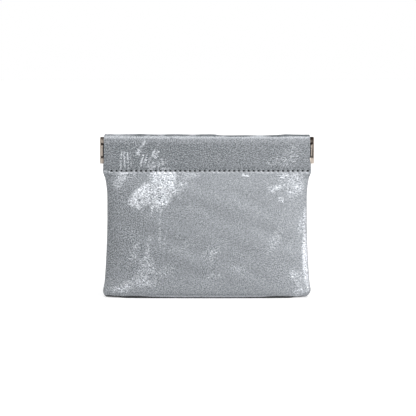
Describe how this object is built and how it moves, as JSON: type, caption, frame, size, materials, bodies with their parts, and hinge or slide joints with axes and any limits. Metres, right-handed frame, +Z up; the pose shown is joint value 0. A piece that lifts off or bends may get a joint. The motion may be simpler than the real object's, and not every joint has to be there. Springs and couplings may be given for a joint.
{
  "type": "coin pouch",
  "caption": "Small leather coin pouch whose hinged spring-strip mouth opens when its two ends are squeezed.",
  "frame": {"origin": "centre of the bottom, on the surface that the pouch stands on", "axes": "+X towards the right hinge seen from the front, -Y towards the front, +Z up towards the mouth"},
  "size_m": [0.11, 0.022, 0.084],
  "materials": {
    "leather": "distressed metallic silver-grey leather",
    "lining": "thin dark lining cloth",
    "spring_steel": "bare spring steel",
    "nickel": "bright nickel plate",
    "thread": "grey polyester thread"
  },
  "bodies": {
    "pouch": {"left_hinge_pin": "nickel", "right_hinge_pin": "nickel", "seam_needle_thread": "thread", "seam_bobbin_thread": "thread", "lining_seam_thread": "thread"},
    "back_half": {"back_panel": "leather", "back_lining": "lining", "back_spring_strip": "spring_steel", "back_channel_needle_thread": "thread", "back_channel_bobbin_thread": "thread"},
    "front_half": {"front_panel": "leather", "front_lining": "lining", "front_spring_strip": "spring_steel", "front_channel_needle_thread": "thread", "front_channel_bobbin_thread": "thread"},
    "front_left_leaf": {"front_left_hinge_leaf": "nickel"},
    "front_right_leaf": {"front_right_hinge_leaf": "nickel"},
    "back_left_leaf": {"back_left_hinge_leaf": "nickel"},
    "back_right_leaf": {"back_right_hinge_leaf": "nickel"}
  },
  "joints": [
    {"name": "back_opens", "type": "hinge", "parent": "pouch", "child": "back_half", "pos_m": [0, 0, 0], "axis": [1, 0, 0], "range_deg": [-14.1, 0], "deforming": ["back_panel", "back_lining", "back_spring_strip", "back_channel_needle_thread", "back_channel_bobbin_thread"]},
    {"name": "mouth_opens", "type": "hinge", "parent": "back_half", "child": "front_half", "pos_m": [0, 0, 0], "axis": [1, 0, 0], "range_deg": [0, 28], "stiffness_Nm_per_rad": 0.4, "deforming": ["front_panel", "front_lining", "front_spring_strip", "front_channel_needle_thread", "front_channel_bobbin_thread"]},
    {"name": "front_left_leaf_turns", "type": "hinge", "parent": "pouch", "child": "front_left_leaf", "pos_m": [-0.0537, 0, 0.0696], "axis": [0, 0, 1], "range_deg": [-27.5, 0]},
    {"name": "front_right_leaf_turns", "type": "hinge", "parent": "pouch", "child": "front_right_leaf", "pos_m": [0.0537, 0, 0.0696], "axis": [0, 0, 1], "range_deg": [0, 27.5]},
    {"name": "back_left_leaf_turns", "type": "hinge", "parent": "pouch", "child": "back_left_leaf", "pos_m": [-0.0537, 0, 0.0696], "axis": [0, 0, 1], "range_deg": [0, 27.5]},
    {"name": "back_right_leaf_turns", "type": "hinge", "parent": "pouch", "child": "back_right_leaf", "pos_m": [0.0537, 0, 0.0696], "axis": [0, 0, 1], "range_deg": [-27.5, 0]}
  ],
  "couplings": [
    {"joint": "back_opens", "follows": "mouth_opens", "ratio": -0.5},
    {"joint": "front_left_leaf_turns", "follows": "mouth_opens", "ratio": -0.97},
    {"joint": "front_right_leaf_turns", "follows": "mouth_opens", "ratio": 0.97},
    {"joint": "back_left_leaf_turns", "follows": "mouth_opens", "ratio": 0.97},
    {"joint": "back_right_leaf_turns", "follows": "mouth_opens", "ratio": -0.97}
  ]
}
